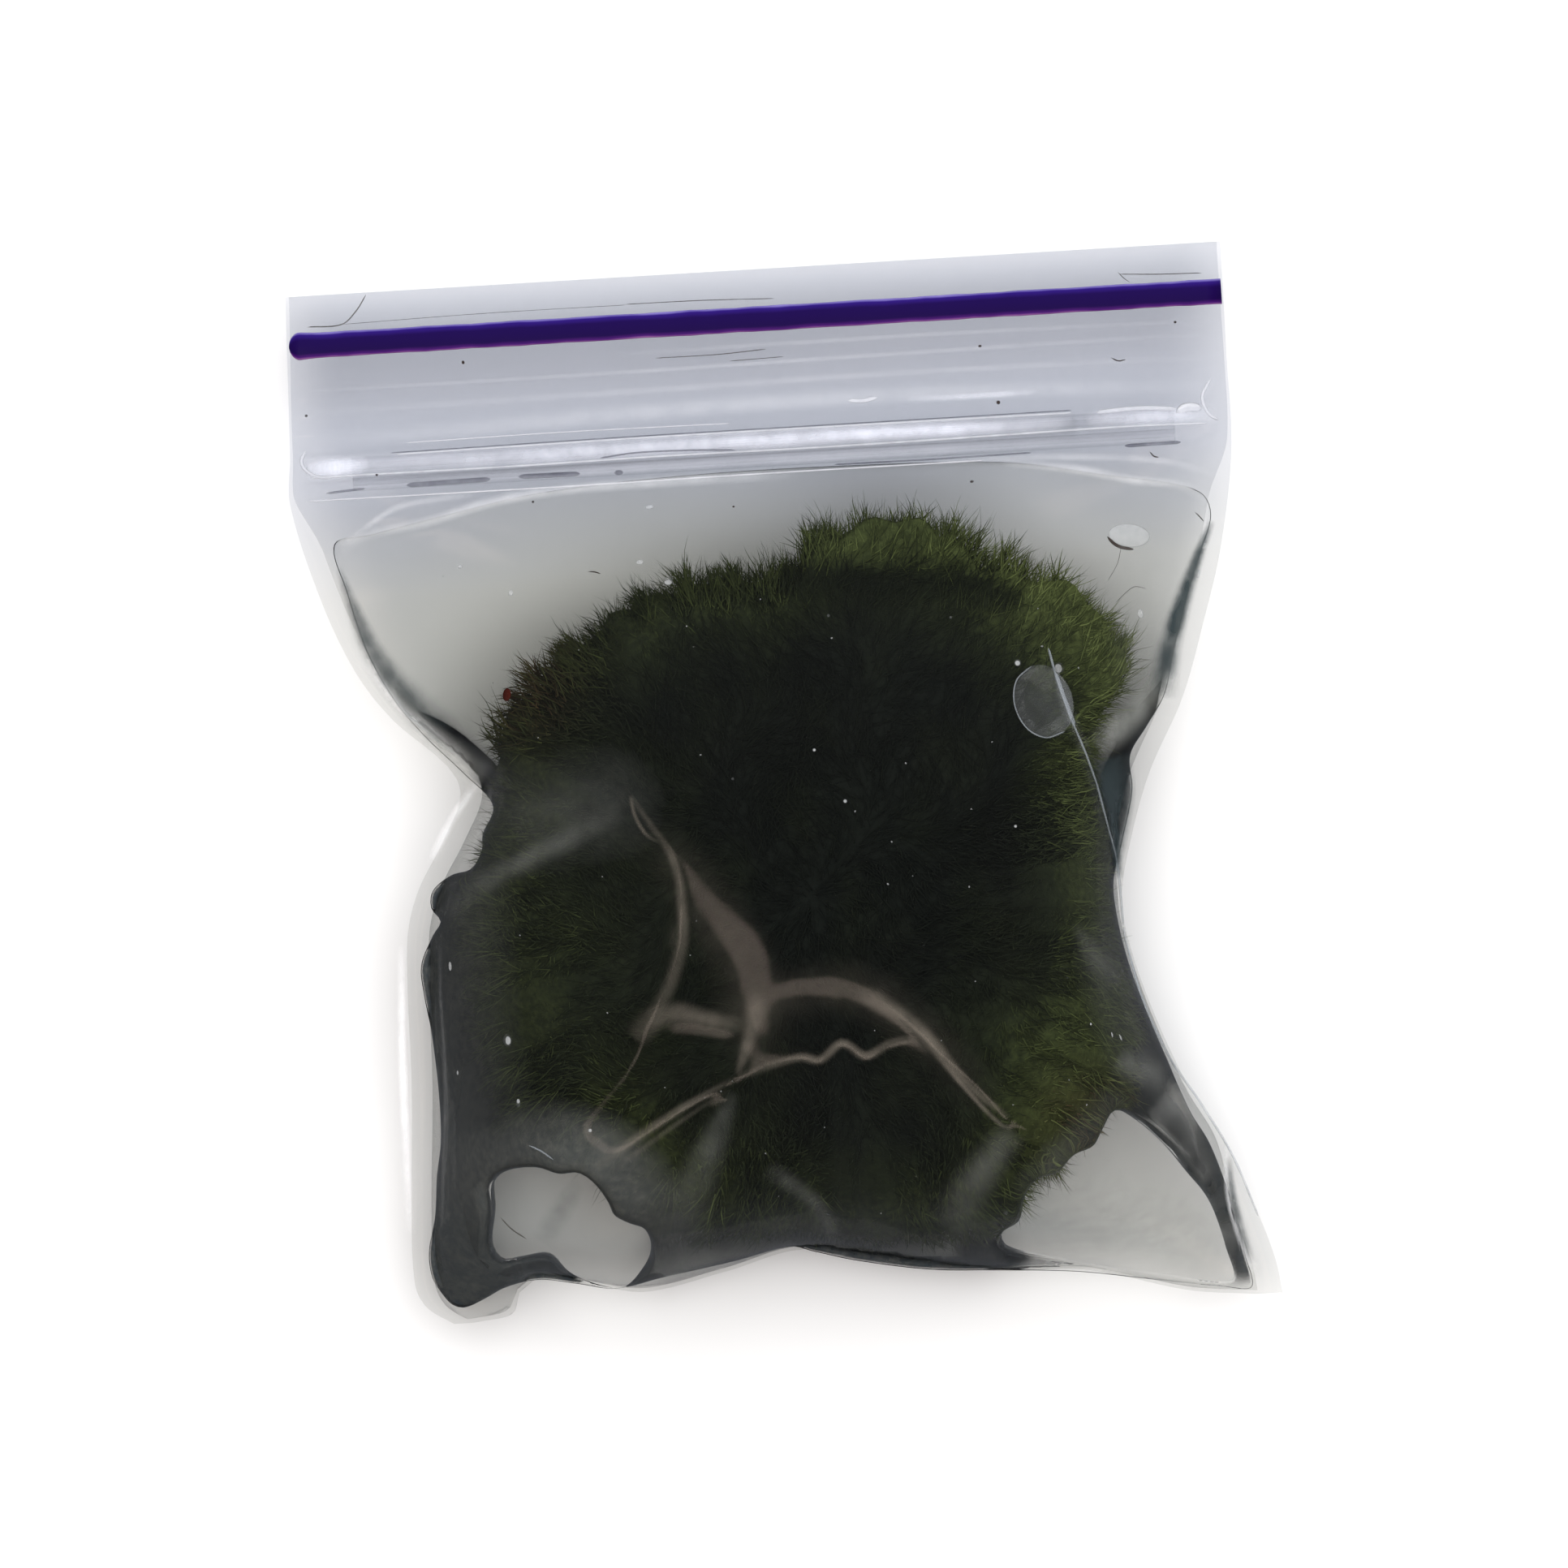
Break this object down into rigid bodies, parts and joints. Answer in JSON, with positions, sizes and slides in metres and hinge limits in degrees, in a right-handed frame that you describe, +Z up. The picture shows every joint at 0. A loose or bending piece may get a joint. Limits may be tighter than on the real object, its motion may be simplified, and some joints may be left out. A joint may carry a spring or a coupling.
{
  "type": "bagged marimo moss ball",
  "caption": "Marimo moss ball sealed with its water in a small clear zip bag that lies flat, with a snap zip and a coloured stripe along the lip.",
  "frame": {"origin": "centre of the footprint, on the surface that the bag lies on", "axes": "+X across the bag, +Y from the bottom fold to the lip, +Z up off the surface"},
  "size_m": [0.0769, 0.0859, 0.0307],
  "materials": {
    "clear_film": "thin clear polyethylene film, soft gloss",
    "indigo": "deep indigo coloured polyethylene",
    "water": "clear water with a faint green tint",
    "moss": "dense velvety green filaments"
  },
  "bodies": {
    "root": {"bag_film": "clear_film", "zip_channel": "clear_film", "zip_rib": "clear_film", "lip_stripe": "indigo", "water_upper": "water", "water_lower": "water", "moss_ball": "moss"}
  },
  "joints": []
}
